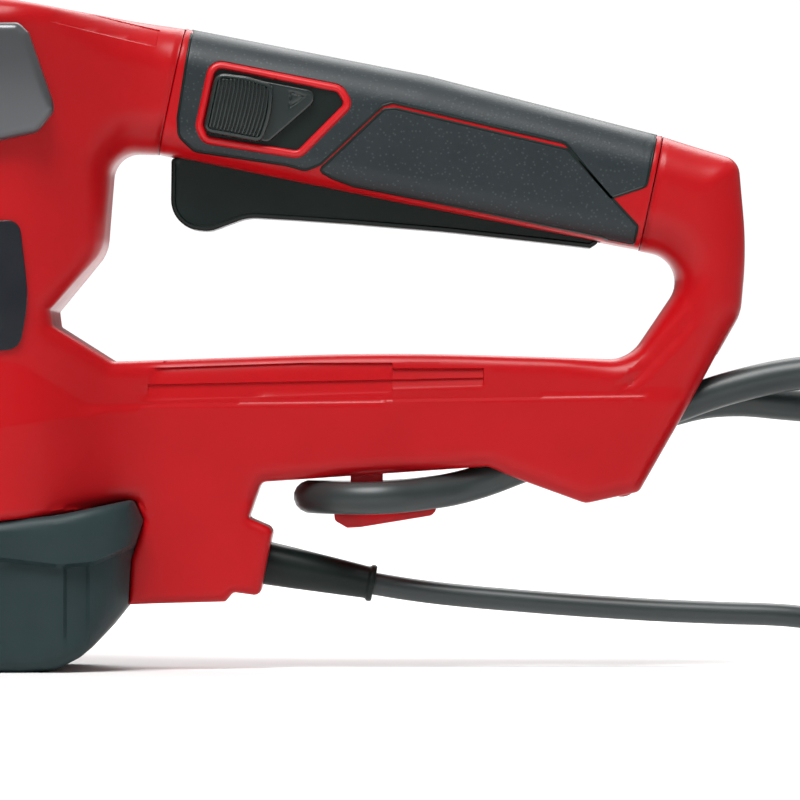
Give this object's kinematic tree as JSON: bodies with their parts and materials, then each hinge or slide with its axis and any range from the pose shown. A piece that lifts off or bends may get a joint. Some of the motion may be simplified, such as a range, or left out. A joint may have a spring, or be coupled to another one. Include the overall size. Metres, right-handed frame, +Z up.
{
  "type": "hedge trimmer",
  "caption": "Corded hedge trimmer with two-sided reciprocating blades, hand guard, loop front handle with switch bar, rotating rear grip with trigger and lock, and a looped extension lead.",
  "frame": {"origin": "centre of the base's flat resting face", "axes": "+X from the blade tip to the rear handle, +Z up out of the base, -Y is the tool's left side"},
  "size_m": [1.2811, 0.306, 0.2755],
  "materials": {
    "red_plastic": "semi-gloss moulded, finely grained",
    "black_plastic": "matt moulded, finely grained",
    "handle_plastic": "glossy moulded",
    "soft_rubber": "soft-touch, grained",
    "cord_rubber": "satin",
    "steel": "ground",
    "cast_alloy": "as cast",
    "copper": "lacquered",
    "carbon": "matt",
    "film": "matt"
  },
  "bodies": {
    "housing": {"housing_left": "red_plastic", "housing_right": "red_plastic", "housing_screws": "steel", "name_plates": "black_plastic", "base_cover": "black_plastic", "base_screws": "steel", "gear_case": "cast_alloy", "gear_case_cover": "cast_alloy", "gear_axle": "steel", "front_handle_rear_shell": "handle_plastic", "front_handle_front_shell": "handle_plastic", "front_handle_switch": "black_plastic", "hand_guard": "black_plastic", "stator_core": "steel", "field_coils": "copper", "brush_holders": "black_plastic", "carbon_brushes": "carbon", "motor_bearings": "steel", "blade_guide_bar": "steel", "blade_bolts": "steel", "blade_nuts": "steel", "tip_guard": "black_plastic", "cable_hook": "red_plastic", "cord_boot": "cord_rubber", "cord_clamp": "black_plastic", "terminal_block": "black_plastic", "capacitor": "film", "supply_cord": "cord_rubber", "supply_plug": "cord_rubber", "lead_tube": "cord_rubber", "lead_coil": "cord_rubber", "lead_coupler": "cord_rubber", "lead_plug": "cord_rubber"},
    "grip": {"grip_left": "red_plastic", "grip_right": "red_plastic", "grip_soft_cover": "soft_rubber", "grip_soft_panels": "soft_rubber", "grip_screws": "steel", "pivot_sleeves": "black_plastic", "main_switch": "black_plastic", "trigger_pin": "steel", "trigger_spring": "steel", "lock_spring": "steel"},
    "trigger": {"trigger": "black_plastic"},
    "lock_slider": {"lock_slider": "black_plastic"},
    "front_switch_bar": {"front_switch_bar": "black_plastic"},
    "gear": {"drive_gear": "steel", "eccentric_discs": "steel"},
    "armature": {"armature_shaft": "steel", "armature_core": "steel", "commutator": "copper", "cooling_fan": "black_plastic", "pinion": "steel"},
    "rod_upper": {"con_rod_upper": "steel"},
    "rod_lower": {"con_rod_lower": "steel"},
    "upper_blade": {"upper_blade": "steel"},
    "lower_blade": {"lower_blade": "steel"}
  },
  "joints": [
    {"name": "grip_turn", "type": "hinge", "parent": "housing", "child": "grip", "pos_m": [0.0938, 0, 0.1784], "axis": [0.9781, 0, -0.2079], "range_deg": [-90, 90]},
    {"name": "trigger_squeeze", "type": "hinge", "parent": "grip", "child": "trigger", "pos_m": [0.22156, 0, 0.13734], "axis": [0, 1, 0], "range_deg": [0, 5], "stiffness_Nm_per_rad": 1, "springref_deg": -4.58, "deforming": ["trigger_spring"]},
    {"name": "lock_slide", "type": "slide", "parent": "grip", "child": "lock_slider", "axis": [0.9781, 0, -0.2079], "range_m": [0, 0.007], "stiffness_N_per_m": 300, "springref_m": -0.003, "deforming": ["lock_spring"]},
    {"name": "front_switch_press", "type": "slide", "parent": "housing", "child": "front_switch_bar", "axis": [0.7071, 0, 0.7071], "range_m": [0, 0.004], "stiffness_N_per_m": 900, "springref_m": -0.003},
    {"name": "gear_spin", "type": "hinge", "parent": "housing", "child": "gear", "pos_m": [-0.02575, 0, 0.03], "axis": [0, 0, 1], "continuous": true},
    {"name": "armature_spin", "type": "hinge", "parent": "housing", "child": "armature", "pos_m": [0.008, 0, 0.09], "axis": [0, 0, 1], "continuous": true},
    {"name": "rod_upper_turn", "type": "hinge", "parent": "gear", "child": "rod_upper", "pos_m": [-0.01775, 0, 0.022], "axis": [0, 0, 1], "continuous": true},
    {"name": "rod_lower_turn", "type": "hinge", "parent": "gear", "child": "rod_lower", "pos_m": [-0.03375, 0, 0.009], "axis": [0, 0, 1], "continuous": true},
    {"name": "upper_blade_slide", "type": "slide", "parent": "housing", "child": "upper_blade", "axis": [1, 0, 0], "range_m": [-0.016, 0]},
    {"name": "lower_blade_slide", "type": "slide", "parent": "housing", "child": "lower_blade", "axis": [1, 0, 0], "range_m": [0, 0.016]}
  ],
  "couplings": [
    {"joint": "armature_spin", "follows": "gear_spin", "ratio": -5},
    {"joint": "rod_upper_turn", "follows": "gear_spin", "ratio": -1},
    {"joint": "rod_lower_turn", "follows": "gear_spin", "ratio": -1},
    {"joint": "lower_blade_slide", "follows": "upper_blade_slide", "ratio": -1}
  ]
}
